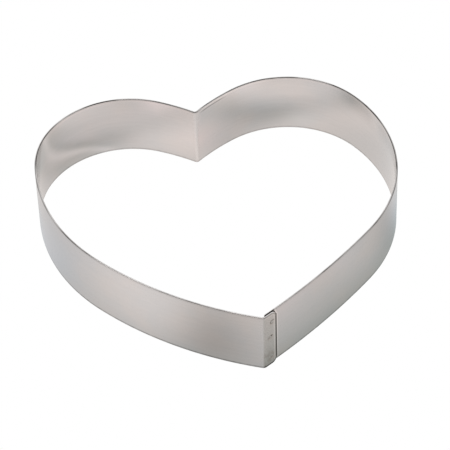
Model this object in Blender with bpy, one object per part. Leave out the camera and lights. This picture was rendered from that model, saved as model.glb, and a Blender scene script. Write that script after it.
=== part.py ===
"""Heart-shaped cake ring, folded from one strip of stainless sheet that stands on edge.

Seen from above with the point towards the viewer, the strip starts inside the point, runs up
the right side and over the right lobe, folds at the cleft, comes back over the left lobe and
down the left side, folds round the point and laps over its own start as a short tab. Three spot
welds hold the tab. The ring has no base. Metres, +Z up, the point towards -Y, and the origin on
the ground under the middle of the outline.
"""

from collections import namedtuple
from itertools import pairwise
from math import acos, atan2, ceil, cos, pi, radians, sin, sqrt

import bmesh
import bpy
from mathutils import Vector

Half = namedtuple(
    "Half", "lobe_x lobe_y lobe_radius flank_angle point_angle side_turn cleft_angle cleft_radius"
)
Arc = namedtuple("Arc", "centre radius start end")
Weld = namedtuple("Weld", "name aside height tint roughness")

# Strip
SHEET = 0.001
HEIGHT = 0.040
EASED_EDGE = 0.00015

# Outline of the right half, on the middle of the sheet. The point is at X 0 and Y 0, and each
# lobe is an arc that hands over to a flatter arc at either end. Angles on a lobe are in degrees
# from outwards, turning up towards the cleft.
RIGHT_LOBE_X = 0.0465
RIGHT_LOBE_Y = 0.135
RIGHT_LOBE_RADIUS = 0.054
RIGHT_FLANK_ANGLE = 29.0
RIGHT_CLEFT_ANGLE = 113.6
RIGHT_CLEFT_RADIUS = 0.125

# The long side leaves the point this many degrees above straight out, and bends by SIDE_TURN
# before the tighter flank takes over.
RIGHT_POINT_ANGLE = 29.0
RIGHT_SIDE_TURN = 11.9

# Outline of the left half, which the bender shaped a little rounder.
LEFT_LOBE_X = 0.047
LEFT_LOBE_Y = 0.1405
LEFT_LOBE_RADIUS = 0.052
LEFT_FLANK_ANGLE = 10.0
LEFT_CLEFT_ANGLE = 121.6
LEFT_CLEFT_RADIUS = 0.135
LEFT_POINT_ANGLE = 26.0
LEFT_SIDE_TURN = 27.3

# Folds, as the radius on the inside of the bend
CLEFT_FOLD = 0.0012
POINT_FOLD = 0.0018

# Lap joint at the point
TAB_LENGTH = 0.0075
TAB_CORNER = 0.003
PLY_GAP = 0.0001
HIDDEN_END_SETBACK = 0.0005

# Spot welds: the places are from the middle of the tab, towards its free end, and from the
# strip's nearer edge. The middle weld sits above halfway between the other two.
WELD_DIAMETER = 0.003
WELD_CLEARANCE = 0.0002
WELD_SINK = 0.00006
WELD_DISH = 0.00014
UPPER_WELD_ASIDE = 0.0009
UPPER_WELD_DROP = 0.007
MIDDLE_WELD_ASIDE = -0.0003
MIDDLE_WELD_LIFT = 0.0022
LOWER_WELD_ASIDE = 0.0006
LOWER_WELD_RISE = 0.0065

# Face of a weld from its middle out to its rim, as shares of its radius and of the dish's depth
WELD_FACE = ((0, 1), (0.45, 0.7), (0.75, 0), (0.93, 0), (1, 0.5))

# Faceting: how far a chord may lie off its arc, and the widest turn from one facet to the next
CHORD_ERROR = 0.00002
WIDEST_FACET = 12.0
CORNER_STEPS = 6
EASED_EDGE_STEPS = 2
WELD_SIDES = 24

# Edges sharper than this are eased, in degrees. Facets of the folds meet at less.
SHARP_EDGE = 40.0
MERGE_DISTANCE = 0.000001

RIGHT = Half(
    RIGHT_LOBE_X, RIGHT_LOBE_Y, RIGHT_LOBE_RADIUS, radians(RIGHT_FLANK_ANGLE),
    radians(RIGHT_POINT_ANGLE), radians(RIGHT_SIDE_TURN), radians(RIGHT_CLEFT_ANGLE), RIGHT_CLEFT_RADIUS
)  # fmt: skip
LEFT = Half(
    LEFT_LOBE_X, LEFT_LOBE_Y, LEFT_LOBE_RADIUS, radians(LEFT_FLANK_ANGLE),
    radians(LEFT_POINT_ANGLE), radians(LEFT_SIDE_TURN), radians(LEFT_CLEFT_ANGLE), LEFT_CLEFT_RADIUS
)  # fmt: skip
LOWER_WELD_HEIGHT = LOWER_WELD_RISE
UPPER_WELD_HEIGHT = HEIGHT - UPPER_WELD_DROP
MIDDLE_WELD_HEIGHT = (LOWER_WELD_HEIGHT + UPPER_WELD_HEIGHT) / 2 + MIDDLE_WELD_LIFT
WELDS = (
    Weld("spot_weld_upper", UPPER_WELD_ASIDE, UPPER_WELD_HEIGHT, (0.36, 0.30, 0.28), 0.45),
    Weld("spot_weld_middle", MIDDLE_WELD_ASIDE, MIDDLE_WELD_HEIGHT, (0.30, 0.26, 0.23), 0.5),
    Weld("spot_weld_lower", LOWER_WELD_ASIDE, LOWER_WELD_HEIGHT, (0.33, 0.29, 0.25), 0.5),
)
STEEL_TINT = (0.62, 0.60, 0.57)
STEEL_ROUGHNESS = 0.33


def direction(angle):
    return Vector((cos(angle), sin(angle)))


def angle_from(centre, place):
    across, up = place - centre
    return atan2(up, across)


def unit_arc_step(first, last):
    """Where a left-hand arc of radius 1 ends that starts at zero with this heading and that one."""
    return Vector((sin(last) - sin(first), cos(first) - cos(last)))


def half_outline(half):
    """Arcs of one half, drawn on the right: side, flank, lobe, and a cleft arc still too long."""
    side_end = half.point_angle + half.side_turn
    lobe_centre = Vector((half.lobe_x, half.lobe_y))
    lobe_start = lobe_centre + half.lobe_radius * direction(half.flank_angle)
    side_step = unit_arc_step(half.point_angle, side_end)
    flank_step = unit_arc_step(side_end, half.flank_angle + pi / 2)
    spread = side_step.cross(flank_step)
    side_radius = lobe_start.cross(flank_step) / spread
    flank_radius = side_step.cross(lobe_start) / spread
    side_centre = side_radius * direction(half.point_angle + pi / 2)
    flank_centre = lobe_start - flank_radius * direction(half.flank_angle)
    cleft_offset = (half.lobe_radius - half.cleft_radius) * direction(half.cleft_angle)
    return [
        Arc(side_centre, side_radius, half.point_angle - pi / 2, side_end - pi / 2),
        Arc(flank_centre, flank_radius, side_end - pi / 2, half.flank_angle),
        Arc(lobe_centre, half.lobe_radius, half.flank_angle, half.cleft_angle),
        Arc(lobe_centre + cleft_offset, half.cleft_radius, half.cleft_angle, pi),
    ]


def mirrored(arcs):
    """The same arcs on the left, in the order that the strip meets them."""
    return [
        Arc(Vector((-arc.centre.x, arc.centre.y)), arc.radius, pi - arc.end, pi - arc.start)
        for arc in reversed(arcs)
    ]


def crossings(first_centre, first_radius, second_centre, second_radius):
    """The two places where the circles meet, the lower one first."""
    span = second_centre - first_centre
    squares = span.length_squared + first_radius**2 - second_radius**2
    along = squares / (2 * span.length)
    aside = sqrt(first_radius**2 - along**2)
    ahead = span.normalized()
    middle = first_centre + along * ahead
    places = [middle + side * aside * ahead.orthogonal() for side in (-1, 1)]
    return sorted(places, key=lambda place: place.y)


def strip_path():
    """The middle of the sheet as arcs, from the hidden end to where the tab's corners start.

    The fold at the cleft turns clockwise, so its end angle is less than its start angle.
    """
    side, flank, lobe, cleft = half_outline(RIGHT)
    left_cleft, left_lobe, left_flank, left_side = mirrored(half_outline(LEFT))

    bend = CLEFT_FOLD + SHEET / 2
    cleft_fold = crossings(
        cleft.centre, cleft.radius + bend, left_cleft.centre, left_cleft.radius + bend
    )[1]
    cleft = cleft._replace(end=angle_from(cleft.centre, cleft_fold))
    left_cleft = left_cleft._replace(start=angle_from(left_cleft.centre, cleft_fold))
    cleft_bend = Arc(
        cleft_fold, bend, angle_from(cleft_fold, cleft.centre), angle_from(cleft_fold, left_cleft.centre)
    )

    bend = POINT_FOLD + SHEET / 2
    lap_radius = side.radius + SHEET + PLY_GAP
    point_fold = crossings(side.centre, lap_radius - bend, left_side.centre, left_side.radius - bend)[0]
    lap_start = angle_from(side.centre, point_fold)
    bend_start = angle_from(left_side.centre, point_fold)
    point_bend = Arc(point_fold, bend, bend_start, lap_start)
    left_side = left_side._replace(end=bend_start + 2 * pi)
    side = side._replace(start=lap_start + HIDDEN_END_SETBACK / side.radius)
    straight = (TAB_LENGTH - TAB_CORNER) / lap_radius
    tab = Arc(side.centre, lap_radius, lap_start, lap_start + straight)
    return [
        side, flank, lobe, cleft, cleft_bend, left_cleft, left_lobe, left_flank, left_side, point_bend, tab
    ]  # fmt: skip


def place_on(arc, angle, outwards=0.0):
    return arc.centre + (arc.radius + outwards) * direction(angle)


def facet_angles(arc):
    """Evenly spaced angles along the arc, its end left out, for the next arc starts there."""
    widest = min(2 * acos(1 - CHORD_ERROR / arc.radius), radians(WIDEST_FACET))
    steps = ceil(abs(arc.end - arc.start) / widest)
    return [arc.start + (arc.end - arc.start) * step / steps for step in range(steps)]


def strip_places(path):
    """Where the strip's upright columns stand, seen from above."""
    places = [place_on(arc, angle) for arc in path for angle in facet_angles(arc)]
    return places + [place_on(path[-1], path[-1].end)]


def outline_middle(path):
    """Middle of the outline's box. Either face of the sheet may be the outermost one."""
    faces = [
        place_on(arc, angle, outwards)
        for arc in path
        for angle in facet_angles(arc)
        for outwards in (-SHEET / 2, SHEET / 2)
    ]
    across = [place.x for place in faces]
    up = [place.y for place in faces]
    return Vector((min(across) + max(across), min(up) + max(up))) / 2


def tab_corner_places(tab):
    """The rounded lower corner of the tab, as places on the sheet and heights above its edge."""
    for step in range(1, CORNER_STEPS + 1):
        turn = pi / 2 * step / CORNER_STEPS
        angle = tab.end + TAB_CORNER * sin(turn) / tab.radius
        yield place_on(tab, angle), TAB_CORNER * (1 - cos(turn))


def new_object(name, shape, parent, material=None):
    """Object with the bmesh's shape. The bmesh is freed."""
    mesh = bpy.data.meshes.new(name)
    shape.to_mesh(mesh)
    shape.free()
    mesh.shade_smooth()
    if material:
        mesh.materials.append(material)
    made = bpy.data.objects.new(name, mesh)
    made.parent = parent
    bpy.context.scene.collection.objects.link(made)
    return made


def metal(name, tint, roughness):
    material = bpy.data.materials.new(name)
    material.use_nodes = True
    shader = material.node_tree.nodes["Principled BSDF"]
    shader.inputs["Base Color"].default_value = (*tint, 1.0)
    shader.inputs["Metallic"].default_value = 1.0
    shader.inputs["Roughness"].default_value = roughness
    material.diffuse_color = (*tint, 1.0)
    return material


def sheet_shape(path, origin):
    """The middle of the sheet, as upright facets and a last face with the tab's round corners."""
    sheet = bmesh.new()

    def corner(place, height):
        return sheet.verts.new((*(place - origin), height))

    columns = [(corner(place, 0), corner(place, HEIGHT)) for place in strip_places(path)]
    for (low, high), (next_low, next_high) in pairwise(columns):
        sheet.faces.new((low, next_low, next_high, high))
    rounded = list(tab_corner_places(path[-1]))
    lower = [corner(place, height) for place, height in rounded]
    upper = [corner(place, HEIGHT - height) for place, height in rounded]
    last_low, last_high = columns[-1]
    sheet.faces.new((last_low, *lower, *reversed(upper), last_high))
    return sheet


def add_band(path, origin, parent):
    """The folded strip: the middle of the sheet, thickened, with its cut edges eased."""
    steel = metal("satin_steel", STEEL_TINT, STEEL_ROUGHNESS)
    band = new_object("heart_band", sheet_shape(path, origin), parent, steel)
    thickness = band.modifiers.new("sheet_thickness", "SOLIDIFY")
    thickness.thickness = SHEET
    thickness.offset = 0
    thickness.use_even_offset = True
    ease = band.modifiers.new("eased_edges", "BEVEL")
    ease.width = EASED_EDGE
    ease.segments = EASED_EDGE_STEPS
    ease.limit_method = "ANGLE"
    ease.angle_limit = radians(SHARP_EDGE)
    ease.use_clamp_overlap = False
    ease.harden_normals = True
    return band


def weld_seat(weld, tab, origin):
    """Middle of the weld, between the two plies, and the direction out of the tab there."""
    tab_start_to_weld = TAB_LENGTH / 2 + weld.aside
    angle = tab.start + tab_start_to_weld / tab.radius
    place = place_on(tab, angle, -(SHEET + PLY_GAP) / 2) - origin
    return Vector((*place, weld.height)), Vector((*direction(angle), 0))


def seat(piece, centre, outwards):
    piece.location = centre
    piece.rotation_euler = outwards.to_track_quat("Z", "Y").to_euler()


def weld_shape():
    """A turned plug through both plies, with the dish that an electrode leaves in each face."""
    radius = WELD_DIAMETER / 2
    top = SHEET + PLY_GAP / 2 - WELD_SINK
    upper = [(share * radius, top - depth * WELD_DISH) for share, depth in WELD_FACE]
    profile = upper + [(across, -height) for across, height in reversed(upper)]
    plug = bmesh.new()
    corners = [plug.verts.new((across, 0, height)) for across, height in profile]
    edges = [plug.edges.new(pair) for pair in pairwise(corners)]
    bmesh.ops.spin(
        plug, geom=corners + edges, cent=(0, 0, 0), axis=(0, 0, 1), angle=2 * pi, steps=WELD_SIDES
    )
    bmesh.ops.remove_doubles(plug, verts=plug.verts, dist=MERGE_DISTANCE)
    bmesh.ops.recalc_face_normals(plug, faces=plug.faces)
    return plug


def weld_hole_shape():
    """A round cutter that runs half a sheet past both plies."""
    cutter = bmesh.new()
    radius = WELD_DIAMETER / 2 + WELD_CLEARANCE
    bmesh.ops.create_cone(
        cutter, cap_ends=True, segments=WELD_SIDES, radius1=radius, radius2=radius, depth=3 * SHEET + PLY_GAP
    )
    return cutter


def add_weld(weld, band, path, origin, parent):
    """One spot weld in the tab, and its hole through both plies of the strip."""
    centre, outwards = weld_seat(weld, path[-1], origin)
    nugget = new_object(weld.name, weld_shape(), parent, metal(weld.name, weld.tint, weld.roughness))
    seat(nugget, centre, outwards)
    hole = new_object(weld.name + "_hole", weld_hole_shape(), parent)
    seat(hole, centre, outwards)
    hole.hide_render = True
    hole.display_type = "WIRE"
    cut = band.modifiers.new(hole.name, "BOOLEAN")
    cut.operation = "DIFFERENCE"
    cut.solver = "EXACT"
    cut.object = hole


def clear_scene():
    for old in list(bpy.data.objects):
        bpy.data.objects.remove(old, do_unlink=True)


def main():
    clear_scene()
    path = strip_path()
    origin = outline_middle(path)
    ring = bpy.data.objects.new("heart_ring", None)
    bpy.context.scene.collection.objects.link(ring)
    band = add_band(path, origin, ring)
    for weld in WELDS:
        add_weld(weld, band, path, origin, ring)


main()
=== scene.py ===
"""Looks of a heart-shaped cake ring, which is one strip of stainless sheet folded on edge.

The strip is made again as a fine mesh, with rolled-over cut edges, dents under its three spot
welds and the finish of the metal. Then come the table, the studio and the camera. Metres, +Z up,
in the axes of the frame: the point towards -Y, and the origin under the middle of the outline.
"""

from collections import namedtuple
from itertools import pairwise
from math import atan2, ceil, cos, exp, hypot, pi, radians, sin, sqrt

import bpy
from mathutils import Matrix, Vector
from mathutils.kdtree import KDTree


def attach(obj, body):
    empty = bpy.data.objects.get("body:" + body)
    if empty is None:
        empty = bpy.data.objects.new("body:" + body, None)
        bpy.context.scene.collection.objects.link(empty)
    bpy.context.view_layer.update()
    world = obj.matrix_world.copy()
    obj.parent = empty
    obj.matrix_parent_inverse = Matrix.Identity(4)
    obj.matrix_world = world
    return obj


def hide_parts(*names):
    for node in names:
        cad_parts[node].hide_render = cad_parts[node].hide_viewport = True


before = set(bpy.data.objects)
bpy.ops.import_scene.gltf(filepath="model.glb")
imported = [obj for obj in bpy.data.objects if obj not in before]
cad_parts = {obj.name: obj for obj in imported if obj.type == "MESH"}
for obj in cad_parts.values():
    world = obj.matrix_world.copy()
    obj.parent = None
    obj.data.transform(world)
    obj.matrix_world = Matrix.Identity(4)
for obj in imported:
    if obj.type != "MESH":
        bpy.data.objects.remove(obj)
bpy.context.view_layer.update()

Half = namedtuple(
    "Half", "lobe_x lobe_y lobe_radius flank_angle point_angle side_turn cleft_angle cleft_radius"
)
Arc = namedtuple("Arc", "centre radius start end")
Weld = namedtuple("Weld", "name node aside height crescent marks")
Mark = namedtuple("Mark", "x y radius share")
Noise = namedtuple("Noise", "scales detail")
EdgeShadeLine = namedtuple("EdgeShadeLine", "start full places")
Skin = namedtuple("Skin", "strip flat along height across")
Softbox = namedtuple("Softbox", "name azimuth elevation distance width height watts tint")
Patch = namedtuple("Patch", "x y long short turn light")

# Strip
SHEET = 0.001
HEIGHT = 0.040
PLY_GAP = 0.0001

# Outline of each half, on the middle of the sheet, with the point at X 0 and Y 0. The side leaves
# the point at its angle, and the flank and the arc to the cleft meet the lobe at theirs.
RIGHT = Half(0.0465, 0.135, 0.054, radians(29.0), radians(29.0), radians(11.9), radians(113.6), 0.125)
LEFT = Half(0.047, 0.1405, 0.052, radians(10.0), radians(26.0), radians(27.3), radians(121.6), 0.135)

# Folds, as the radius on the inside of the bend, and the radius that only folds are tighter than
CLEFT_FOLD = 0.0012
POINT_FOLD = 0.0018
TIGHT_RADIUS = 0.003

# Lap joint at the point, and the rounded corners of the strip's two ends
TAB_LENGTH = 0.0075
TAB_CORNER = 0.003
HIDDEN_CORNER = 0.0005
HIDDEN_END_SETBACK = 0.0005

# Rolled-over cut edge, and the narrow row beside it that keeps the wide faces' shading flat
EDGE_ROUNDING = 0.0004
EDGE_STEPS = 6
SUPPORT_ROW = 0.00004

# Mesh: the widest turn and step from column to column, and the finer spacing round the welds
COLUMN_TURN = radians(2.5)
FOLD_TURN = radians(5.0)
COLUMN_STEP = 0.004
ROW_STEP = 0.0025
FINE_STEP = 0.00022
FINE_LAP = 0.009
FINE_HEIGHT = 0.0021
CORNER_STEPS = 10

# Spot welds: from the middle of the tab towards its free end, up from the bottom edge, how dark a
# crescent of painted dent shade is on their left side, and dark marks placed from the weld's middle,
# which are partly scorch and partly painted dent shade
WELDS = (
    Weld("upper_weld_button", "spot_weld_upper", 0.0009, 0.033, 0.65, (
        Mark(0.0010, 0.0012, 0.0008, 0.85),
    )),
    Weld("middle_weld_button", "spot_weld_middle", -0.0003, 0.02195, 0.1, (
        Mark(0.0007, 0.0008, 0.0009, 1.0),
        Mark(-0.0016, -0.0002, 0.0015, 0.3),
    )),
    Weld("lower_weld_button", "spot_weld_lower", 0.0006, 0.0065, 0.0, (
        Mark(-0.0001, -0.0007, 0.0011, 0.35),
        Mark(-0.0022, 0.0020, 0.0035, 0.12),
    )),
)
DENT_RADIUS = 0.0016
DENT_FLOOR = 0.00115
DENT_DEPTH = 0.0002
DENT_LIP = 0.00003
LIP_WIDTH = 0.0006

# A weld's face, from its middle out, as radii and depths under the sheet's face
WELD_PROFILE = (
    (0.0, 0.00019), (0.0003, 0.000185), (0.0006, 0.000165), (0.00085, 0.00015),
    (0.00105, 0.00017), (0.00118, 0.00021), (0.00125, 0.00027),
)
WELD_SIDES = 48

# Noise: its scale on each axis, on the strip laid flat or in space, and its detail. A span is the
# part of its values over which what follows it goes from none to all.
CLOUDS = Noise((30.0, 30.0, 30.0), 3.0)
BANDS = Noise((14.0, 620.0, 1.0), 2.0)
GRAIN = Noise((160.0, 5200.0, 1.0), 3.0)
SMEARS = Noise((70.0, 70.0, 160.0), 4.0)
BREAKS = Noise((300.0, 900.0, 1.0), 3.0)
EDGE_WAVES = Noise((60.0, 0.0, 0.0), 2.0)
TAB_MOTTLE = Noise((1500.0, 1300.0, 1.0), 5.0)
TAB_SMUDGES = Noise((420.0, 260.0, 1.0), 4.0)
HEAT_WAVES = Noise((900.0, 900.0, 1.0), 2.0)
SCORCH_AND_SHADE_WAVES = Noise((2200.0, 2200.0, 2200.0), 3.0)
WELD_MOTTLE = Noise((2800.0, 2800.0, 2800.0), 4.0)
NOISE_SPAN = (0.3, 0.7)
WIDE_SPAN = (0.25, 0.75)
CLOUD_SPAN = (0.35, 0.65)
SMEAR_SPAN = (0.55, 0.75)
SMUDGE_SPAN = (0.38, 0.62)
HEAT_SPAN = (0.2, 0.8)

# Across the sheet's thickness, where -1 is its inner and 1 its outer face: from where none of a
# finish shows to where all of it does
OUTER_FACE = (0.0, 0.5)
OUTER_FACE_ONLY = (0.6, 0.95)
INNER_FACE = (0.0, -0.5)
CUT_EDGE = (0.99, 0.93)

# Steel: its two tones, which drift into each other, and how much clouds, rolling bands, grain,
# smears, cuts and folds change tone and roughness. A bump is its strength and its depth.
WARM_STEEL = (0.612, 0.596, 0.587)
COOL_STEEL = (0.577, 0.584, 0.589)
BAND_TONE = 0.012
GRAIN_TONE = 0.02
STEEL_ROUGHNESS = 0.13
CLOUD_ROUGHNESS = 0.03
GRAIN_ROUGHNESS = 0.03
SMEAR_ROUGHNESS = 0.05
CUT_ROUGHNESS = 0.3
BEND_ROUGHNESS = 0.14
BEND_REACH = 0.003
GRAIN_BUMP = (0.35, 0.000002)

# Tab: its duller grey, and a brown that darkens its lower part in smudges. A fade is the two lengths
# before a place on the strip between which something sets in.
TAB_GREY = (0.456, 0.459, 0.441)
TAB_GREY_SHARE = 0.85
MOTTLE_TONE = 0.12
TAB_LOW_BROWN = (0.29, 0.245, 0.22)
TAB_FADE = (0.0018, 0.0006)
LOW_BROWN_HEIGHTS = (0.007, 0.0165)
LOW_BROWN_SHARE = 0.45

# Heat tint round the welds, from its dark edge out to bare steel
HEAT_DARK = (0.20, 0.165, 0.145)
HEAT_STRAW = (0.50, 0.455, 0.40)
HEAT_START = 0.0012
HEAT_END = 0.0032
HEAT_SHARE = 0.2
HEAT_WANDER = 0.0004

# Scorch and painted dent shade on the welds and round them: the crescent's radius, width, dark side
# and least share, and how much of a mark's radius is its core
SCORCH_AND_DENT_SHADE = (0.09, 0.07, 0.062)
SCORCH_AND_SHADE_WANDER = 0.00025
CRESCENT_RADIUS = 0.0012
CRESCENT_WIDTH = (0.00065, 0.0001)
CRESCENT_SIDE = Vector((-0.8, 0.4, 0.0))
CRESCENT_FADE = 0.0006
CRESCENT_LEAST = 0.15
MARK_CORE = 0.2
WELD_ROUGHNESS = (0.28, 0.46)
WELD_BUMP = (0.4, 0.00003)

# Cut edges: bright, and dark where a line of painted dark reflection runs along the side that faces
# the camera. Such a line has places across the sheet where it starts and where it is full, and
# lengths along it with the share there.
CUT_AND_RIM_HIGHLIGHT = (0.72, 0.69, 0.68)
CUT_SHADE = (0.03, 0.027, 0.024)
CUT_TONE = 0.1
EDGE_SHADE_LINES = (
    # On the outer side, along the two fronts and in a few places at the cleft
    EdgeShadeLine(-1.0, 0.8, (
        (0.0, 0.45), (0.034, 0.55), (0.048, 0.95), (0.064, 0.6), (0.09, 0.8), (0.135, 0.9),
        (0.155, 0.5), (0.168, 0.05), (0.185, 0.2), (0.2, 0.6), (0.212, 0.0), (0.262, 0.0),
        (0.272, 0.5), (0.284, 0.0), (0.316, 0.0), (0.322, 0.5), (0.328, 0.0), (0.435, 0.0),
        (0.443, 0.85), (0.455, 0.85), (0.465, 0.65), (0.495, 0.6), (0.505, 0.9), (0.522, 0.85),
        (0.535, 0.5), (0.565, 0.4), (0.595, 0.6), (0.61, 0.6), (0.62, 0.2),
    )),
    # On the inner side, round the two lobes
    EdgeShadeLine(0.7, -0.5, (
        (0.133, 0.0), (0.145, 1.0), (0.223, 1.0), (0.23, 0.4), (0.243, 0.45), (0.25, 1.0),
        (0.262, 1.0), (0.269, 0.05), (0.311, 0.05), (0.318, 0.9), (0.34, 0.9), (0.347, 0.5),
        (0.361, 0.5), (0.368, 1.0), (0.384, 1.0), (0.391, 0.5), (0.403, 0.5), (0.41, 1.0),
        (0.44, 1.0), (0.45, 0.0),
    )),
    # Close to the inner face, at the point
    EdgeShadeLine(-0.4, -0.9, ((0.585, 0.0), (0.6, 0.8), (0.614, 0.7), (0.622, 0.2))),
    # Over nearly the whole edge, right of the cleft
    EdgeShadeLine(-0.95, -0.5, (
        (0.258, 0.0), (0.267, 1.0), (0.28, 1.0), (0.285, 0.8), (0.31, 0.75), (0.316, 0.0),
    )),
)
EDGE_SHADE_WANDER = (0.7, 1.15)
FOOT_CUT_SHADE_HEIGHTS = (0.034, 0.024)

# Painted shade at the ends of the cut edges: on the black one that the tab covers, in the gap behind
# the fold at the point, and at the free end of the tab
COVERED_END = (0.0072, 0.0064)
COVERED_SIDE = (-0.1, 0.3)
GAP_SIDE = (-0.05, -0.4)
GAP_FADE = (0.0022, 0.0012)
TAB_END_FADE = (0.0012, 0.0004)
TAB_END_SHARE = 0.6

# Painted shade with some grime: a faint line along every edge, a strong one round the tab, and one in
# the corner beside it
SHADE_AND_GRIME = (0.03, 0.026, 0.022)
EDGE_SHADE_SPAN = (-0.0007, -0.0001)
EDGE_SHADE_REACH = 0.001
EDGE_SHADE_REACH_FADE = (0.0165, 0.0185)
BROKEN_SHARES = (0.4, 1.0)
EDGE_SHADE_SHARE = 0.15
FOOT_SHADE_SHARE = 0.55
INNER_FOOT_SHADE_SHARE = 0.28
FOOT_SHADE_HEIGHTS = (0.01, 0.03)
FOOT_SHADE_SIDES = (-0.8, 0.2)
TAB_SHADE_SHARE = 0.95
TAB_FOOT_SHADE_SHARE = 0.9
TAB_FOOT = (0.003, 0.006)
TAB_TOP = (0.0355, 0.0375)
TAB_TOP_SHADE_SHARE = 0.2
CORNER_SHADE = (0.0013, 0.0017)
CORNER_TOP_SHIFT = 0.0009

# Painted highlight lines beside the tab, within its outline, and on the ridge of the fold at the cleft
HIGHLIGHT_TONE = (0.86, 0.84, 0.83)
CORNER_LIGHT = (0.0026, 0.0017)
CORNER_LIGHT_SHARE = 0.75
TAB_LINE = (-0.0014, 0.0006)
TAB_LINE_SHARE = 0.4
RIDGE_WIDTH = 0.0011
RIDGE_SHARE = 0.4

# Lines on the inner face, as height and reach, and shares by the length along the strip: a painted
# highlight along the whole rim, a stronger painted highlight and a dark line right of the cleft, and
# a broad band of painted darker reflection under the rim of the right lobe
INNER_RIM_HIGHLIGHT = (0.0386, 0.0006)
INNER_RIM_HIGHLIGHT_SHARE = 0.9
RIM_HIGHLIGHT_LINE = (0.0391, 0.0012)
RIM_HIGHLIGHT_PLACES = (
    (0.262, 0.0), (0.27, 0.45), (0.285, 0.45), (0.293, 0.8), (0.298, 1.0), (0.31, 1.0), (0.3145, 0.0),
)
UNDERLINE = (0.0376, 0.0006)
UNDERLINE_PLACES = ((0.292, 0.0), (0.298, 0.5), (0.31, 0.55), (0.3145, 0.0))
DARK_REFLECTION_BAND = (0.036, 0.011)
DARK_REFLECTION_PLACES = (
    (0.126, 0.0), (0.136, 0.13), (0.178, 0.13), (0.188, 0.02), (0.196, 0.14), (0.208, 0.14),
    (0.222, 0.0),
)

# Camera: where it stands, seen from the middle of the picture, and its lens on a 36 mm sensor
CAMERA_AZIMUTH = radians(-11.082)
CAMERA_ELEVATION = radians(44.502)
CAMERA_ROLL = radians(-2.016)
CAMERA_DISTANCE = 1.51142
CAMERA_TARGET = Vector((0.001945, 0.017955, 0.0))
CAMERA_LENS = 208.28
CAMERA_CLIP = 0.1

# Studio: the lamps stand round the aim, at an azimuth from -Y towards +X and an elevation, both
# in degrees
STUDIO_AIM = Vector((0.0, 0.0, 0.02))
WORLD_GREY = (1.1, 1.1, 1.1)
SOFTBOXES = (
    Softbox("overhead_softbox", 0.0, 80.0, 1.6, 1.0, 1.0, 6.0, (1.0, 0.97, 0.95)),
    Softbox("left_softbox", -88.0, 48.0, 1.6, 0.5, 0.6, 3.0, (1.0, 0.99, 0.98)),
)

# Dark wall behind the camera, which only the metal mirrors. The cut edges that face the camera
# show it as a thin dark line.
DARK_WALL_DISTANCE = 2.4
DARK_WALL_AZIMUTHS = (-85, 60)
DARK_WALL_ELEVATIONS = (3, 80)
DARK_WALL_STEPS = 24
DARK_WALL_LIGHT = (0.04, 0.037, 0.034)

# White surround that only the camera sees, as radii and heights from its middle out and up
SURROUND = ((3.0, 0.0), (4.6, 0.3), (5.6, 1.2), (6.0, 3.0), (5.0, 5.2), (2.5, 6.6))
SURROUND_SIDES = 64

# Table that only the metal mirrors: its even light, what the nearby wall takes from it or adds to
# it, and soft patches that make it lighter or darker. Each has its middle, its two radii, the turn
# of the long one in degrees, and the light that it adds.
TABLE_LIGHT = (0.82, 0.78, 0.76)
LEFT_SHADE = (-0.13, -0.095, -0.083)
RIGHT_SHADE = (-0.33, -0.275, -0.28)
INNER_GLOW = (0.08, 0.07, 0.06)
SHADE_REACH = 0.015
OUTER_PATCHES = (
    # Left front: dark near the point, light further up, bluish by the lobe
    Patch(-0.041, -0.093, 0.032, 0.026, 0, (-0.37, -0.35, -0.35)),
    Patch(-0.087, -0.068, 0.081, 0.031, -37, (0.29, 0.25, 0.235)),
    Patch(-0.0915, 0.032, 0.048, 0.025, 54, (0.02, 0.045, 0.085)),
    # Right front: light along it, bluish and darker by the lobe, light beside the tab
    Patch(0.060, -0.104, 0.036, 0.017, 23, (0.18, 0.11, 0.10)),
    Patch(0.097, -0.073, 0.023, 0.019, -55, (0.09, 0.07, 0.075)),
    Patch(0.105, 0.005, 0.025, 0.015, 27, (0.075, 0.10, 0.137)),
    Patch(0.108, -0.014, 0.024, 0.022, 0, (-0.11, -0.10, -0.09)),
    Patch(0.013, -0.110, 0.009, 0.007, 0, (0.05, 0.02, 0.025)),
)
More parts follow.
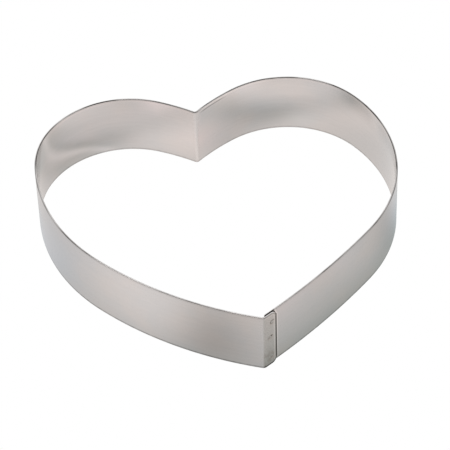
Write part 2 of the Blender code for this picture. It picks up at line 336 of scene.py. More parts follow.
INNER_PATCHES = (
    # Left lobe: a broad light with an arc and a thin streak in it, and dark fields beside them
    Patch(-0.030, 0.065, 0.029, 0.021, -40, (0.38, 0.31, 0.29)),
    Patch(-0.057, 0.067, 0.019, 0.006, 73, (0.43, 0.35, 0.36)),
    Patch(-0.052, 0.0835, 0.012, 0.010, 0, (-0.45, -0.37, -0.365)),
    Patch(-0.066, 0.0832, 0.023, 0.0028, 37.5, (0.34, 0.29, 0.29)),
    Patch(-0.067, 0.071, 0.0225, 0.016, -46, (-0.19, -0.20, -0.21)),
    Patch(-0.037, 0.067, 0.014, 0.011, 0, (-0.16, -0.145, -0.14)),
    # Right lobe: a broad light with a dark core, and a dark field over a light one on its left
    Patch(0.042, 0.076, 0.035, 0.021, -54, (0.45, 0.37, 0.35)),
    Patch(0.047, 0.077, 0.015, 0.012, -44, (-0.45, -0.39, -0.385)),
    Patch(0.052, 0.079, 0.005, 0.005, 0, (-0.05, -0.045, -0.045)),
    Patch(0.058, 0.081, 0.009, 0.0045, 0, (0.06, 0.06, 0.055)),
    Patch(0.028, 0.084, 0.022, 0.019, -44, (-0.39, -0.33, -0.31)),
    Patch(0.019, 0.0695, 0.0115, 0.010, 0, (0.18, 0.115, 0.11)),
    # Small corrections in both lobes
    Patch(-0.068, 0.089, 0.024, 0.014, 0, (-0.08, -0.055, -0.045)),
    Patch(-0.052, 0.084, 0.010, 0.005, 10, (0.05, 0.03, 0.025)),
    Patch(-0.041, 0.086, 0.008, 0.008, 0, (0.06, 0.03, 0.025)),
    Patch(0.042, 0.071, 0.012, 0.0055, 0, (-0.075, -0.042, -0.027)),
    Patch(0.086, 0.058, 0.016, 0.014, 0, (-0.04, -0.02, -0.01)),
    Patch(-0.079, 0.0900, 0.0065, 0.004, 73, (-0.10, -0.065, -0.06)),
    Patch(0.059, 0.059, 0.007, 0.003, 78, (0.17, 0.15, 0.15)),
)
TABLE_DEPTH = 0.0002
TABLE_STEP = 0.003
TABLE_REACH = 0.18
TABLE_END = 3.0
INNER_MIDDLE = Vector((0.0, 0.02))
INNER_RINGS = 50


def direction(angle):
    return Vector((cos(angle), sin(angle)))


def angle_from(centre, place):
    across, up = place - centre
    return atan2(up, across)


def unit_arc_step(first, last):
    """Where a left-hand arc of radius 1 ends that starts at zero with this heading and that one."""
    return Vector((sin(last) - sin(first), cos(first) - cos(last)))


def half_outline(half):
    """Arcs of one half, drawn on the right: side, flank, lobe, and a cleft arc still too long."""
    side_end = half.point_angle + half.side_turn
    lobe_centre = Vector((half.lobe_x, half.lobe_y))
    lobe_start = lobe_centre + half.lobe_radius * direction(half.flank_angle)
    side_step = unit_arc_step(half.point_angle, side_end)
    flank_step = unit_arc_step(side_end, half.flank_angle + pi / 2)
    spread = side_step.cross(flank_step)
    side_radius = lobe_start.cross(flank_step) / spread
    flank_radius = side_step.cross(lobe_start) / spread
    side_centre = side_radius * direction(half.point_angle + pi / 2)
    flank_centre = lobe_start - flank_radius * direction(half.flank_angle)
    cleft_offset = (half.lobe_radius - half.cleft_radius) * direction(half.cleft_angle)
    return [
        Arc(side_centre, side_radius, half.point_angle - pi / 2, side_end - pi / 2),
        Arc(flank_centre, flank_radius, side_end - pi / 2, half.flank_angle),
        Arc(lobe_centre, half.lobe_radius, half.flank_angle, half.cleft_angle),
        Arc(lobe_centre + cleft_offset, half.cleft_radius, half.cleft_angle, pi),
    ]


def mirrored(arcs):
    """The same arcs on the left, in the order that the strip meets them."""
    return [
        Arc(Vector((-arc.centre.x, arc.centre.y)), arc.radius, pi - arc.end, pi - arc.start)
        for arc in reversed(arcs)
    ]


def crossings(first_centre, first_radius, second_centre, second_radius):
    """The two places where the circles meet, the lower one first."""
    span = second_centre - first_centre
    along = (span.length_squared + first_radius**2 - second_radius**2) / (2 * span.length)
    aside = sqrt(first_radius**2 - along**2)
    ahead = span.normalized()
    middle = first_centre + along * ahead
    places = [middle + side * aside * ahead.orthogonal() for side in (-1, 1)]
    return sorted(places, key=lambda place: place.y)


def cleft_arcs(cleft, left_cleft):
    """The two arcs to the cleft, cut where the fold meets them, and the fold between them.

    The fold turns clockwise, so its end angle is less than its start angle.
    """
    bend = CLEFT_FOLD + SHEET / 2
    centre = crossings(
        cleft.centre, cleft.radius + bend, left_cleft.centre, left_cleft.radius + bend
    )[1]
    start, end = angle_from(centre, cleft.centre), angle_from(centre, left_cleft.centre)
    cleft = cleft._replace(end=angle_from(cleft.centre, centre))
    left_cleft = left_cleft._replace(start=angle_from(left_cleft.centre, centre))
    return cleft, Arc(centre, bend, start, end), left_cleft


def strip_path():
    """The middle of the sheet as arcs, from the hidden end to the free end of the tab."""
    side, flank, lobe, cleft = half_outline(RIGHT)
    left_cleft, left_lobe, left_flank, left_side = mirrored(half_outline(LEFT))
    cleft, cleft_bend, left_cleft = cleft_arcs(cleft, left_cleft)

    bend = POINT_FOLD + SHEET / 2
    lap_radius = side.radius + SHEET + PLY_GAP
    centre = crossings(side.centre, lap_radius - bend, left_side.centre, left_side.radius - bend)[0]
    lap_start = angle_from(side.centre, centre)
    bend_start = angle_from(left_side.centre, centre)
    point_bend = Arc(centre, bend, bend_start, lap_start)
    left_side = left_side._replace(end=bend_start + 2 * pi)
    side = side._replace(start=lap_start + HIDDEN_END_SETBACK / side.radius)
    tab = Arc(side.centre, lap_radius, lap_start, lap_start + TAB_LENGTH / lap_radius)
    right = [side, flank, lobe, cleft]
    left = [left_cleft, left_lobe, left_flank, left_side]
    return [*right, cleft_bend, *left, point_bend, tab]


class Strip:
    """The strip's middle, by the length along it from the hidden end."""

    def __init__(self, path):
        self.path = path
        self.starts = [0.0]
        for arc in path:
            self.starts.append(self.starts[-1] + abs(arc.end - arc.start) * arc.radius)
        self.length = self.starts[-1]
        self.tab_start = self.length - TAB_LENGTH
        self.cleft, self.point = [
            (low + high) / 2
            for arc, (low, high) in zip(path, pairwise(self.starts))
            if arc.radius < TIGHT_RADIUS
        ]
        self.origin = Vector((0, 0))
        self.origin = self.middle()

    def place(self, along):
        """The place there, and the direction out of the ring."""
        index = max(k for k, start in enumerate(self.starts[:-1]) if k == 0 or start <= along)
        arc = self.path[index]
        turning = 1 if arc.end > arc.start else -1
        angle = arc.start + turning * (along - self.starts[index]) / arc.radius
        return arc.centre + arc.radius * direction(angle) - self.origin, turning * direction(angle)

    def stations(self):
        """Lengths along the strip at which its columns stand, apart from those of its two ends."""
        found = []
        for index, arc in enumerate(self.path):
            low, high = self.starts[index], self.starts[index + 1]
            cuts = [low, high]
            if index == 0:
                cuts = [HIDDEN_CORNER, FINE_LAP, high]
            if index == len(self.path) - 1:
                cuts = [low, self.length - TAB_CORNER]
            for first, last in pairwise(cuts):
                fine = first < FINE_LAP or index == len(self.path) - 1
                turn = FOLD_TURN if arc.radius < TIGHT_RADIUS else COLUMN_TURN
                step = FINE_STEP if fine else min(COLUMN_STEP, turn * arc.radius)
                steps = ceil((last - first) / step)
                found += [first + (last - first) * k / steps for k in range(steps)]
        return found + [self.length - TAB_CORNER]

    def middle(self):
        """Middle of the outline's box, from both faces of the sheet."""
        faces = []
        for along in self.stations():
            place, outwards = self.place(along)
            faces += [place + outwards * side * SHEET / 2 for side in (-1, 1)]
        across = [place.x for place in faces]
        up = [place.y for place in faces]
        return Vector((min(across) + max(across), min(up) + max(up))) / 2

    def weld_lengths(self, weld):
        """Lengths along the strip at the weld's middle: on the tab, and on the ply behind it."""
        beside = TAB_LENGTH / 2 + weld.aside
        return self.tab_start + beside, beside - HIDDEN_END_SETBACK


def flat_columns(strip, inset):
    """The strip laid flat and trimmed by inset: each column's length and its lowest height."""
    hidden, tab = HIDDEN_CORNER - inset, TAB_CORNER - inset
    turns = [pi / 2 * step / CORNER_STEPS for step in range(1, CORNER_STEPS + 1)]
    first = [(HIDDEN_CORNER - hidden * sin(turn), HIDDEN_CORNER - hidden * cos(turn)) for turn in turns]
    straight = [(along, inset) for along in strip.stations()]
    last = [
        (strip.length - TAB_CORNER + tab * sin(turn), TAB_CORNER - tab * cos(turn)) for turn in turns
    ]
    return first[::-1] + straight + last


def row_shares():
    """Heights of the rows as shares of the strip's height, closer together at the welds."""
    spans = [(weld.height - FINE_HEIGHT, weld.height + FINE_HEIGHT) for weld in WELDS]
    cuts = sorted([0.0, HEIGHT] + [height for span in spans for height in span])
    heights = []
    for low, high in pairwise(cuts):
        step = FINE_STEP if (low, high) in spans else ROW_STEP
        steps = ceil((high - low) / step)
        heights += [low + (high - low) * k / steps for k in range(steps)]
    return [height / HEIGHT for height in heights] + [1.0]


def height_at(low, share):
    """Height of a row in a column that reaches from low to as far under the rim."""
    return low + share * (HEIGHT - 2 * low)


def smooth_step(low, high, value):
    share = min(max((value - low) / (high - low), 0.0), 1.0)
    return share * share * (3 - 2 * share)


def dent(distance):
    """How far the sheet is pressed in at this distance from a weld's middle."""
    pressed = DENT_DEPTH * (1 - smooth_step(DENT_FLOOR, DENT_RADIUS, distance))
    from_lip = abs(distance - DENT_RADIUS - LIP_WIDTH / 2) / (LIP_WIDTH / 2)
    return pressed - DENT_LIP * (1 - smooth_step(0, 1, from_lip))


def face_offset(strip, along, height, side):
    """Distance out of the ring from the sheet's middle to its face, with the welds' dents."""
    offset = side * SHEET / 2
    on_tab = side > 0 and along > strip.tab_start - DENT_RADIUS
    under_tab = side < 0 and along < TAB_LENGTH + DENT_RADIUS
    if not (on_tab or under_tab):
        return offset
    for weld in WELDS:
        tab_length, hidden_length = strip.weld_lengths(weld)
        beside = along - (tab_length if on_tab else hidden_length)
        offset -= side * dent(hypot(beside, height - weld.height))
    return offset


def rounded_edge():
    """Insets and offsets of the loops over a cut edge, from the outer face to the inner one."""
    turns = [pi / 2 * step / EDGE_STEPS for step in range(EDGE_STEPS + 1)]
    flat = SHEET / 2 - EDGE_ROUNDING
    outer = [(EDGE_ROUNDING * (1 - sin(turn)), flat + EDGE_ROUNDING * cos(turn)) for turn in turns]
    return outer + [(inset, -offset) for inset, offset in reversed(outer)]


class StripMesh:
    """Vertices, faces, and each vertex's length, height and place across the sheet from -1 to 1."""

    def __init__(self, strip):
        self.strip = strip
        self.shares = row_shares()
        self.vertices = []
        self.faces = []
        self.facts = []
        loops = [self.add_wide_face(1)]
        loops += [self.add_loop(inset, offset) for inset, offset in rounded_edge()]
        loops.append(self.add_wide_face(-1))
        for loop, after in pairwise(loops):
            around = list(zip(loop, after))
            for (a, b), (c, d) in pairwise(around + around[:1]):
                self.faces.append((c, a, b, d))

    def add_vertex(self, along, height, offset, across):
        place, outwards = self.strip.place(along)
        self.vertices.append((*(place + outwards * offset), height))
        self.facts.append((along, height, across))
        return len(self.vertices) - 1

    def add_column(self, along, low, side):
        column = []
        for share in self.shares:
            height = height_at(low, share)
            offset = face_offset(self.strip, along, height, side)
            column.append(self.add_vertex(along, height, offset, side))
        return column

    def add_wide_face(self, side):
        """The outer or the inner face of the sheet, and the loop of vertices round it."""
        columns = flat_columns(self.strip, EDGE_ROUNDING + SUPPORT_ROW)
        grid = [self.add_column(along, low, side) for along, low in columns]
        for column, after in pairwise(grid):
            for row in range(len(self.shares) - 1):
                corners = (column[row], after[row], after[row + 1], column[row + 1])
                self.faces.append(corners if side > 0 else corners[::-1])
        bottom = [column[0] for column in grid]
        top = [column[-1] for column in grid]
        return bottom + grid[-1][1:-1] + top[::-1] + grid[0][-2:0:-1]

    def add_loop(self, inset, offset):
        """A loop of vertices round the strip's edge."""
        across = offset / (SHEET / 2)
        columns = flat_columns(self.strip, inset)
        (first_along, first_low), (last_along, last_low) = columns[0], columns[-1]
        places = list(columns)
        places += [(last_along, height_at(last_low, share)) for share in self.shares[1:-1]]
        places += [(along, HEIGHT - low) for along, low in reversed(columns)]
        places += [(first_along, height_at(first_low, share)) for share in self.shares[-2:0:-1]]
        return [self.add_vertex(along, height, offset, across) for along, height in places]


def grid_faces(rows, columns, closed):
    """Faces of a grid of vertices stored row by row, whose columns may close into a ring."""
    faces = []
    for row in range(rows - 1):
        for column in range(columns if closed else columns - 1):
            after = (column + 1) % columns
            low, high = row * columns, (row + 1) * columns
            faces.append((low + column, low + after, high + after, high + column))
    return faces


def new_piece(name, vertices, faces, material):
    mesh = bpy.data.meshes.new(name)
    mesh.from_pydata(vertices, [], faces)
    mesh.shade_smooth()
    mesh.materials.append(material)
    piece = bpy.data.objects.new(name, mesh)
    bpy.context.scene.collection.objects.link(piece)
    return piece


def add_strip(strip):
    model = StripMesh(strip)
    piece = new_piece("folded_strip", model.vertices, model.faces, satin_steel(strip))
    mesh = piece.data
    flat = mesh.uv_layers.new(name="flat_strip")
    for loop in mesh.loops:
        along, height, across = model.facts[loop.vertex_index]
        flat.data[loop.index].uv = (along, height)
    spread = mesh.attributes.new("across_sheet", "FLOAT", "POINT")
    spread.data.foreach_set("value", [across for along, height, across in model.facts])
    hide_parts("heart_band")
    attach(piece, "root")


def weld_mesh():
    """A turned plug through both plies, with a shallow crater and a ridge in each face."""
    top = SHEET + PLY_GAP / 2
    upper = [(radius, top - depth) for radius, depth in WELD_PROFILE]
    profile = upper + [(radius, -height) for radius, height in reversed(upper)]
    rings = profile[1:-1]
    vertices = [(0, 0, profile[0][1]), (0, 0, profile[-1][1])]
    for radius, height in rings:
        for side in range(WELD_SIDES):
            vertices.append((*(radius * direction(2 * pi * side / WELD_SIDES)), height))
    faces = [
        [2 + corner for corner in reversed(face)] for face in grid_faces(len(rings), WELD_SIDES, True)
    ]
    last = len(vertices) - WELD_SIDES
    for side in range(WELD_SIDES):
        after = (side + 1) % WELD_SIDES
        faces += [(0, 2 + side, 2 + after), (1, last + after, last + side)]
    return vertices, faces


def add_weld(strip, weld):
    vertices, faces = weld_mesh()
    piece = new_piece(weld.name, vertices, faces, weld_metal(weld))
    spread = piece.data.attributes.new("weld_place", "FLOAT_VECTOR", "POINT")
    spread.data.foreach_set("vector", [distance for x, y, _ in vertices for distance in (x, y, 0)])
    place, outwards = strip.place(strip.weld_lengths(weld)[0])
    between_plies = place - outwards * (SHEET + PLY_GAP) / 2
    turned = Vector((*outwards, 0)).to_track_quat("Z", "Y").to_matrix().to_4x4()
    piece.data.transform(Matrix.Translation((*between_plies, weld.height)) @ turned)
    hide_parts(weld.node)
    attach(piece, "root")


def is_socket(value):
    return isinstance(value, bpy.types.NodeSocket)


def add_node(kind, inputs, tree=None, **settings):
    """A node in the tree of its inputs, each of which is a value or a socket to link from."""
    tree = tree or next(value.id_data for value in inputs.values() if is_socket(value))
    made = tree.nodes.new(kind)
    for name, value in settings.items():
        setattr(made, name, value)
    for socket, value in inputs.items():
        if is_socket(value):
            tree.links.new(value, made.inputs[socket])
        else:
            made.inputs[socket].default_value = value
    return made


def new_material(name):
    material = bpy.data.materials.new(name)
    material.use_nodes = True
    return material, material.node_tree, material.node_tree.nodes["Principled BSDF"]


def maths(operation, first, *others):
    """The values joined by one operation, from the first to the last."""
    for other in others:
        joint = add_node("ShaderNodeMath", {0: first, 1: other}, operation=operation)
        first = joint.outputs["Value"]
    return first


def vector_maths(operation, first, second, output="Value"):
    joint = add_node("ShaderNodeVectorMath", {0: first, 1: second}, operation=operation)
    return joint.outputs[output]


def away_from(value, middle):
    """How far the value is from the middle, on either side of it."""
    apart = maths("SUBTRACT", value, middle)
    return add_node("ShaderNodeMath", {0: apart}, operation="ABSOLUTE").outputs["Value"]


def noise(place, texture):
    """Noise at the place, stretched by the texture's scale on each axis."""
    stretched = vector_maths("MULTIPLY", place, texture.scales, "Vector")
    inputs = {"Vector": stretched, "Scale": 1.0, "Detail": texture.detail}
    return add_node("ShaderNodeTexNoise", inputs).outputs["Fac"]


def ranged(value, low, high, to_low=0.0, to_high=1.0):
    """The value moved from one range to another along a smooth step."""
    inputs = {"Value": value, "From Min": low, "From Max": high, "To Min": to_low, "To Max": to_high}
    made = add_node("ShaderNodeMapRange", inputs, interpolation_type="SMOOTHSTEP")
    return made.outputs["Result"]


def close_to(value, middle, reach, share=1.0):
    """The share where the value is at the middle, easing to 0 at its reach on either side."""
    return ranged(away_from(value, middle), reach, 0.0, 0.0, share)


def mixed(share, first, second, blend="MIX"):
    """The first colour or value where the share is 0, and the second blended with it where it is 1."""
    inputs = {"Fac": share}
    for socket, colour in (("Color1", first), ("Color2", second)):
        inputs[socket] = colour if is_socket(colour) else (*colour, 1)
    return add_node("ShaderNodeMixRGB", inputs, blend_type=blend).outputs["Color"]


def swayed(colour, value, share):
    """The colour made lighter and darker by this share as the noise's value rises and falls."""
    shade = ranged(value, *WIDE_SPAN, 1 - share, 1 + share)
    return mixed(1.0, colour, shade, "MULTIPLY")


def make_metal(shader, colour, rough, relief, bump):
    """Gives a metal shader its colour and roughness, and bumps from the relief."""
    strength, depth = bump
    inputs = {"Strength": strength, "Distance": depth, "Height": relief}
    normal = add_node("ShaderNodeBump", inputs).outputs["Normal"]
    for socket, value in (("Base Color", colour), ("Roughness", rough), ("Normal", normal)):
        shader.id_data.links.new(value, shader.inputs[socket])
    shader.inputs["Metallic"].default_value = 1.0


def nearing(skin, place, fade):
    """A share that grows along the strip, from the first length before the place to the second."""
    return ranged(skin.along, place - fade[0], place - fade[1])


def tab_share(skin):
    return nearing(skin, skin.strip.tab_start, TAB_FADE)


def by_length(skin, places):
    """A share that eases from one place along the strip to the next."""
    length = skin.strip.length
    share_along = maths("DIVIDE", skin.along, length)
    ramp = add_node("ShaderNodeValToRGB", {"Fac": share_along})
    ramp.color_ramp.interpolation = "EASE"
    elements = ramp.color_ramp.elements
    elements.remove(elements[1])
    for index, (along, share) in enumerate(places):
        element = elements.new(along / length) if index else elements[0]
        element.position = along / length
        element.color = (share, share, share, 1)
    return ramp.outputs["Color"]


def outline_distance(skin, end):
    """Distance to the strip's cut outline, less than 0 inside it, if its rounded end lies here."""
    beside = maths("SUBTRACT", skin.along, end - TAB_CORNER)
    from_middle = away_from(skin.height, HEIGHT / 2)
    above = maths("SUBTRACT", from_middle, HEIGHT / 2 - TAB_CORNER)
    past_x = maths("MAXIMUM", beside, 0.0)
    past_y = maths("MAXIMUM", above, 0.0)
    past = add_node("ShaderNodeCombineXYZ", {"X": past_x, "Y": past_y}).outputs["Vector"]
    outside = vector_maths("DISTANCE", past, (0, 0, 0))
    inside = maths("MINIMUM", maths("MAXIMUM", beside, above), 0.0)
    return maths("SUBTRACT", maths("ADD", outside, inside), TAB_CORNER)


def beside_tab(skin):
    """Distance from the tab on the ply behind it, counted closer in at its upper corner."""
    shift = ranged(skin.height, *TAB_TOP, 0.0, CORNER_TOP_SHIFT)
    from_tab = outline_distance(skin, TAB_LENGTH - HIDDEN_END_SETBACK)
    return maths("ADD", from_tab, shift)


def inner_line(skin, line, *strengths):
    """A line along the inner face, as strong as its strengths multiplied."""
    share = close_to(skin.height, *line)
    return maths("MULTIPLY", share, ranged(skin.across, *INNER_FACE), *strengths)


def tab_tones(skin, colour):
    """The tab's duller grey, and the brown smudge on its lower part."""
    on_tab = tab_share(skin)
    mottle = noise(skin.flat, TAB_MOTTLE)
    grey = swayed(mixed(TAB_GREY_SHARE, colour, TAB_GREY), mottle, MOTTLE_TONE)
    colour = mixed(on_tab, colour, grey)
    smudges = ranged(noise(skin.flat, TAB_SMUDGES), *SMUDGE_SPAN)
    low = ranged(skin.height, *LOW_BROWN_HEIGHTS, LOW_BROWN_SHARE, 0.0)
    return mixed(maths("MULTIPLY", smudges, low, on_tab), colour, TAB_LOW_BROWN)


def scorch_and_shade_share(place, weld):
    """How much scorch and painted dent shade the metal has at this place, measured from the weld's
    middle.
    """
    waves = noise(place, SCORCH_AND_SHADE_WAVES)
    wander = ranged(waves, *WIDE_SPAN, -SCORCH_AND_SHADE_WANDER, SCORCH_AND_SHADE_WANDER)
    off_ring = away_from(vector_maths("DISTANCE", place, (0, 0, 0)), CRESCENT_RADIUS)
    off_ring = maths("ADD", off_ring, wander)
    ring = ranged(off_ring, *CRESCENT_WIDTH, 0.0, weld.crescent)
    aside = vector_maths("DOT_PRODUCT", place, CRESCENT_SIDE)
    on_side = ranged(aside, -CRESCENT_FADE, CRESCENT_FADE, CRESCENT_LEAST, 1.0)
    shares = [maths("MULTIPLY", ring, on_side)]
    for mark in weld.marks:
        gap = vector_maths("DISTANCE", place, (mark.x, mark.y, 0))
        gap = maths("ADD", gap, wander)
        shares.append(ranged(gap, mark.radius, mark.radius * MARK_CORE, 0.0, mark.share))
    return maths("MAXIMUM", *shares)


def scorch_and_shade_marks(skin, colour):
    """Scorch and painted dent shade of the three welds, where they spread from them onto the tab."""
    for weld in WELDS:
        middle = (skin.strip.weld_lengths(weld)[0], weld.height, 0)
        place = vector_maths("SUBTRACT", skin.flat, middle, "Vector")
        colour = mixed(scorch_and_shade_share(place, weld), colour, SCORCH_AND_DENT_SHADE)
    return colour


def weld_distance(skin):
    """Distance along the sheet to the nearest weld, on the tab or on the ply behind it."""
    gaps = [
        vector_maths("DISTANCE", skin.flat, (along, weld.height, 0))
        for weld in WELDS
        for along in skin.strip.weld_lengths(weld)
    ]
    return maths("MINIMUM", *gaps)


def heat_tint(skin, colour):
    """Straw and brown rings where the welds heated the sheet."""
    waves = noise(skin.flat, HEAT_WAVES)
    wander = ranged(waves, *HEAT_SPAN, -HEAT_WANDER, HEAT_WANDER)
    distance = maths("ADD", weld_distance(skin), wander)
    straw = ranged(distance, HEAT_START, HEAT_END, HEAT_SHARE, 0.0)
    dark = ranged(distance, HEAT_START, (HEAT_START + HEAT_END) / 2, HEAT_SHARE, 0.0)
    return mixed(dark, mixed(straw, colour, HEAT_STRAW), HEAT_DARK)


def edge_shade(skin, broken):
    """How dark the painted shade and grime are along the strip's outline, widest at its foot and its
    rim.
    """
    height = skin.height
    reach = ranged(away_from(height, HEIGHT / 2), *EDGE_SHADE_REACH_FADE, 0.0, EDGE_SHADE_REACH)
    from_edge = maths("ADD", outline_distance(skin, skin.strip.length), reach)
    foot = ranged(skin.across, *FOOT_SHADE_SIDES, INNER_FOOT_SHADE_SHARE, FOOT_SHADE_SHARE)
    strength = ranged(height, *FOOT_SHADE_HEIGHTS, foot, EDGE_SHADE_SHARE)
    strength = maths("MULTIPLY", strength, broken)
    tab_strength = maths(
        "MINIMUM",
        ranged(height, *TAB_TOP, TAB_SHADE_SHARE, TAB_TOP_SHADE_SHARE),
        ranged(height, *TAB_FOOT, TAB_FOOT_SHADE_SHARE, TAB_SHADE_SHARE),
    )
    strength = mixed(tab_share(skin), strength, tab_strength)
    return maths("MULTIPLY", ranged(from_edge, *EDGE_SHADE_SPAN), strength)


def painted_highlights(skin, colour):
    """Painted highlight lines beside the tab, on it, on the fold at the cleft and by the rim."""
    outer = ranged(skin.across, *OUTER_FACE)
    beside = ranged(beside_tab(skin), *CORNER_LIGHT, 0.0, CORNER_LIGHT_SHARE)
    beside = maths("MULTIPLY", beside, outer)
    from_edge = outline_distance(skin, skin.strip.length)
    on_tab = close_to(from_edge, *TAB_LINE, TAB_LINE_SHARE)
    on_tab = maths("MULTIPLY", on_tab, outer, tab_share(skin))
    ridge = close_to(skin.along, skin.strip.cleft, RIDGE_WIDTH, RIDGE_SHARE)
    ridge = maths("MULTIPLY", ridge, ranged(skin.across, *INNER_FACE))
    rim_highlight = inner_line(skin, RIM_HIGHLIGHT_LINE, by_length(skin, RIM_HIGHLIGHT_PLACES))
    shares = maths("MAXIMUM", beside, on_tab, ridge, rim_highlight)
    return mixed(shares, colour, HIGHLIGHT_TONE)


def painted_shade(skin, edge, colour):
    """Painted shade and grime along the edges and beside the tab, a rim line, and a painted dark band.
    """
    corner = ranged(beside_tab(skin), *CORNER_SHADE, TAB_SHADE_SHARE, 0.0)
    corner = maths("MULTIPLY", corner, ranged(skin.across, *OUTER_FACE_ONLY))
    under = inner_line(skin, UNDERLINE, by_length(skin, UNDERLINE_PLACES))
    dark_reflection = inner_line(skin, DARK_REFLECTION_BAND, by_length(skin, DARK_REFLECTION_PLACES))
    return mixed(maths("MAXIMUM", edge, corner, under, dark_reflection), colour, SHADE_AND_GRIME)


def cut_colour(skin, edge, bands):
    """Sheared edge: bright, with painted dark reflection lines, and painted shade along the foot and
    tab.
    """
    strip, flat, along, height, across = skin
    waves = noise(flat, EDGE_WAVES)
    shade_lines = []
    for shade_line in EDGE_SHADE_LINES:
        side = ranged(across, shade_line.start, shade_line.full)
        shade_lines.append(maths("MULTIPLY", side, by_length(skin, shade_line.places)))
    shade_line = maths("MAXIMUM", *shade_lines)
    shade_line = maths("MULTIPLY", shade_line, ranged(waves, *NOISE_SPAN, *EDGE_SHADE_WANDER))
    foot = maths("MULTIPLY", edge, ranged(height, *FOOT_CUT_SHADE_HEIGHTS))
    tab_top = ranged(height, *TAB_TOP, 1.0, TAB_END_SHARE)
    tab_end = maths("MULTIPLY", nearing(skin, strip.length, TAB_END_FADE), tab_top)
    in_gap = nearing(skin, strip.tab_start, GAP_FADE)
    gap = maths("MULTIPLY", in_gap, ranged(across, *GAP_SIDE))
    dark = maths("MAXIMUM", shade_line, foot, tab_end, gap)
    dark = maths("MINIMUM", dark, 1.0)
    near_end = ranged(along, *COVERED_END)
    covered = maths("MULTIPLY", near_end, ranged(across, *COVERED_SIDE))
    bright = swayed(mixed(waves, CUT_AND_RIM_HIGHLIGHT, WARM_STEEL), bands, CUT_TONE)
    return mixed(covered, mixed(dark, bright, CUT_SHADE), SHADE_AND_GRIME)


def steel_colour(skin, clouds, grain, cut):
    """Colour of the sheet with its marks, and of its cut edges."""
    bands = noise(skin.flat, BANDS)
    colour = mixed(ranged(clouds, *CLOUD_SPAN), WARM_STEEL, COOL_STEEL)
    colour = swayed(swayed(colour, bands, BAND_TONE), grain, GRAIN_TONE)
    colour = tab_tones(skin, colour)
    colour = heat_tint(skin, colour)
    colour = scorch_and_shade_marks(skin, colour)
    colour = painted_highlights(skin, colour)
    broken = ranged(noise(skin.flat, BREAKS), *NOISE_SPAN, *BROKEN_SHARES)
    # A painted highlight along the inner face, just under the rim
    inner_rim_highlight = inner_line(skin, INNER_RIM_HIGHLIGHT, INNER_RIM_HIGHLIGHT_SHARE, broken)
    colour = mixed(inner_rim_highlight, colour, CUT_AND_RIM_HIGHLIGHT)
    edge = edge_shade(skin, broken)
    colour = painted_shade(skin, edge, colour)
    return mixed(cut, colour, cut_colour(skin, edge, bands))


def steel_roughness(skin, clouds, grain, smears, cut):
    """Roughness of the sheet, which is more matt where it is folded or cut."""
    folds = (skin.strip.cleft, skin.strip.point)
    bends = [close_to(skin.along, fold, BEND_REACH) for fold in folds]
    bent = maths("MAXIMUM", *bends)
    rough = maths(
        "ADD",
        ranged(clouds, *NOISE_SPAN, STEEL_ROUGHNESS, STEEL_ROUGHNESS + CLOUD_ROUGHNESS),
        ranged(grain, *NOISE_SPAN, 0.0, GRAIN_ROUGHNESS),
        ranged(smears, *SMEAR_SPAN, 0.0, SMEAR_ROUGHNESS),
        maths("MULTIPLY", bent, BEND_ROUGHNESS),
    )
    return maths("MAXIMUM", rough, maths("MULTIPLY", cut, CUT_ROUGHNESS))


def satin_steel(strip):
    """Rolled stainless sheet: soft clouds, bands and fine grain along the strip, and its edges."""
    material, tree, shader = new_material("satin_steel")
    flat = add_node("ShaderNodeUVMap", {}, tree, uv_map="flat_strip").outputs["UV"]
    parts = add_node("ShaderNodeSeparateXYZ", {"Vector": flat}).outputs
    across = add_node("ShaderNodeAttribute", {}, tree, attribute_name="across_sheet").outputs["Fac"]
    skin = Skin(strip, flat, parts["X"], parts["Y"], across)
    place = add_node("ShaderNodeTexCoord", {}, tree).outputs["Object"]
    clouds = noise(place, CLOUDS)
    smears = noise(place, SMEARS)
    grain = noise(flat, GRAIN)
    cut = ranged(away_from(across, 0.0), *CUT_EDGE)
    colour = steel_colour(skin, clouds, grain, cut)
    rough = steel_roughness(skin, clouds, grain, smears, cut)
    make_metal(shader, colour, rough, grain, GRAIN_BUMP)
    return material


def weld_metal(weld):
    """Fused metal, pale where it is bare, and brown where it is scorched and where dent shade is
    painted.
    """
    material, tree, shader = new_material(weld.name + "_metal")
    place = add_node("ShaderNodeAttribute", {}, tree, attribute_name="weld_place").outputs["Vector"]
    mottle = noise(place, WELD_MOTTLE)
    colour = swayed(TAB_GREY, mottle, MOTTLE_TONE)
    colour = mixed(scorch_and_shade_share(place, weld), colour, SCORCH_AND_DENT_SHADE)
    rough = ranged(mottle, *NOISE_SPAN, *WELD_ROUGHNESS)
    make_metal(shader, colour, rough, mottle, WELD_BUMP)
    return material


def patch_share(patch, place):
    """How much of the patch's light falls here, from 1 in its middle to nothing outside."""
    turn = radians(patch.turn)
    offset = place - Vector((patch.x, patch.y))
    long_share = offset.dot(direction(turn)) / patch.long
    short_share = offset.dot(direction(turn + pi / 2)) / patch.short
    return exp(-(long_share**2) - short_share**2)


def table_light(place, patches, shade, distance):
    """Light of the table at this place, this far from the wall."""
    light = Vector(TABLE_LIGHT) + exp(-distance / SHADE_REACH) * Vector(shade)
    for patch in patches:
        light += patch_share(patch, place) * Vector(patch.light)
    return [max(channel, 0.0) for channel in light]


def glowing(name):
    """A black material that gives the light in its mesh's light attribute."""
    material, tree, shader = new_material(name)
    light = add_node("ShaderNodeAttribute", {}, tree, attribute_name="light").outputs["Color"]
    tree.links.new(light, shader.inputs["Emission Color"])
    shader.inputs["Base Color"].default_value = (0, 0, 0, 1)
    shader.inputs["Specular IOR Level"].default_value = 0.0
    shader.inputs["Emission Strength"].default_value = 1.0
    return material


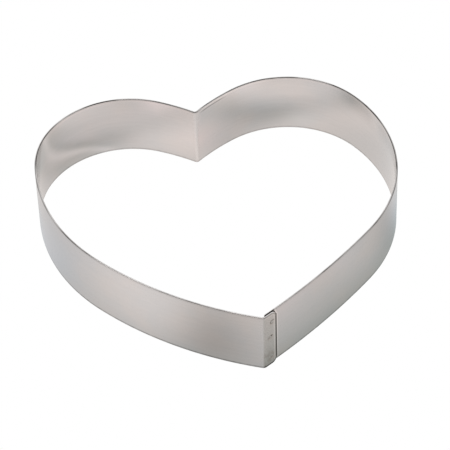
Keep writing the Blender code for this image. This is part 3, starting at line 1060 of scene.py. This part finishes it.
def add_stage(name, vertices, faces, lights, unseen_by):
    """A piece of the studio that gives light, hidden from these kinds of rays."""
    piece = new_piece(name, vertices, faces, glowing(name))
    colours = piece.data.color_attributes.new("light", "FLOAT_COLOR", "POINT")
    colours.data.foreach_set("color", [channel for light in lights for channel in (*light, 1.0)])
    for ray in unseen_by:
        setattr(piece, "visible_" + ray, False)


def wall_finder(outline):
    tree = KDTree(len(outline))
    for index, place in enumerate(outline):
        tree.insert((*place, 0), index)
    tree.balance()
    return tree


def add_table(name, places, faces, depth, wall, patches, shades):
    """A table this deep under the ring, with the nearby wall's shades on its left and its right."""
    lights = []
    for place in places:
        shade = shades[0] if place.x < 0 else shades[1]
        lights.append(table_light(place, patches, shade, wall.find((*place, 0))[2]))
    add_stage(name, [(*place, -depth) for place in places], faces, lights, ("camera",))


def add_outer_table(wall):
    steps = round(2 * TABLE_REACH / TABLE_STEP)
    ticks = [-TABLE_END] + [-TABLE_REACH + TABLE_STEP * step for step in range(steps + 1)] + [TABLE_END]
    places = [Vector((x, y)) for y in ticks for x in ticks]
    faces = grid_faces(len(ticks), len(ticks), False)
    shades = (LEFT_SHADE, RIGHT_SHADE)
    add_table("outer_table", places, faces, TABLE_DEPTH, wall, OUTER_PATCHES, shades)


def add_inner_table(outline, wall):
    shares = [ring / (INNER_RINGS + 1) for ring in range(INNER_RINGS + 1)]
    places = [place.lerp(INNER_MIDDLE, share) for share in shares for place in outline]
    innermost = tuple(range(INNER_RINGS * len(outline), len(places)))
    faces = grid_faces(len(shares), len(outline), True) + [innermost]
    shades = (INNER_GLOW, INNER_GLOW)
    add_table("inner_table", places, faces, TABLE_DEPTH / 2, wall, INNER_PATCHES, shades)


def add_surround():
    vertices = []
    for radius, height in SURROUND:
        for side in range(SURROUND_SIDES):
            across, up = radius * direction(2 * pi * side / SURROUND_SIDES)
            vertices.append((across, up, height - TABLE_DEPTH / 4))
    faces = grid_faces(len(SURROUND), SURROUND_SIDES, True)
    last = len(vertices) - SURROUND_SIDES
    faces += [tuple(range(SURROUND_SIDES)), tuple(range(last, len(vertices)))]
    unseen_by = ("diffuse", "glossy", "transmission", "volume_scatter", "shadow")
    add_stage("surround", vertices, faces, [(1, 1, 1)] * len(vertices), unseen_by)


def away_at(azimuth, elevation):
    """The direction there, by its azimuth from -Y towards +X and its elevation."""
    return Vector((sin(azimuth) * cos(elevation), -cos(azimuth) * cos(elevation), sin(elevation)))


def add_dark_wall():
    left, right = DARK_WALL_AZIMUTHS
    low, high = DARK_WALL_ELEVATIONS
    shares = [step / DARK_WALL_STEPS for step in range(DARK_WALL_STEPS + 1)]
    vertices = []
    for up in shares:
        elevation = radians(low + (high - low) * up)
        for across in shares:
            azimuth = radians(left + (right - left) * across)
            vertices.append(STUDIO_AIM + away_at(azimuth, elevation) * DARK_WALL_DISTANCE)
    faces = grid_faces(len(shares), len(shares), False)
    unseen_by = ("camera", "diffuse", "shadow")
    add_stage("dark_wall", vertices, faces, [DARK_WALL_LIGHT] * len(vertices), unseen_by)


def add_softbox(box):
    light = bpy.data.lights.new(box.name, "AREA")
    light.shape = "RECTANGLE"
    light.size = box.width
    light.size_y = box.height
    light.energy = box.watts
    light.color = box.tint
    lamp = bpy.data.objects.new(box.name, light)
    away = away_at(radians(box.azimuth), radians(box.elevation))
    lamp.location = STUDIO_AIM + away * box.distance
    lamp.rotation_euler = away.to_track_quat("Z", "Y").to_euler()
    lamp.visible_camera = False
    bpy.context.scene.collection.objects.link(lamp)


def add_world():
    world = bpy.data.worlds.new("studio")
    world.use_nodes = True
    world.node_tree.nodes["Background"].inputs["Color"].default_value = (*WORLD_GREY, 1)
    bpy.context.scene.world = world


def add_camera():
    back = away_at(CAMERA_AZIMUTH, CAMERA_ELEVATION)
    level = Vector((cos(CAMERA_AZIMUTH), sin(CAMERA_AZIMUTH), 0))
    upright = back.cross(level)
    right = cos(CAMERA_ROLL) * level + sin(CAMERA_ROLL) * upright
    up = back.cross(right)
    lens = bpy.data.cameras.new("camera")
    lens.lens = CAMERA_LENS
    lens.clip_start = CAMERA_CLIP
    camera = bpy.data.objects.new("camera", lens)
    turned = Matrix((right, up, back)).transposed()
    camera.matrix_world = Matrix.Translation(CAMERA_TARGET + back * CAMERA_DISTANCE) @ turned.to_4x4()
    bpy.context.scene.collection.objects.link(camera)
    bpy.context.scene.camera = camera


def main():
    strip = Strip(strip_path())
    add_strip(strip)
    for weld in WELDS:
        add_weld(strip, weld)
    outline = [strip.place(along)[0] for along in strip.stations() if along < strip.tab_start]
    wall = wall_finder(outline)
    add_outer_table(wall)
    add_inner_table(outline, wall)
    add_surround()
    add_dark_wall()
    add_world()
    for box in SOFTBOXES:
        add_softbox(box)
    add_camera()
    bpy.context.scene.view_settings.view_transform = "Standard"


main()
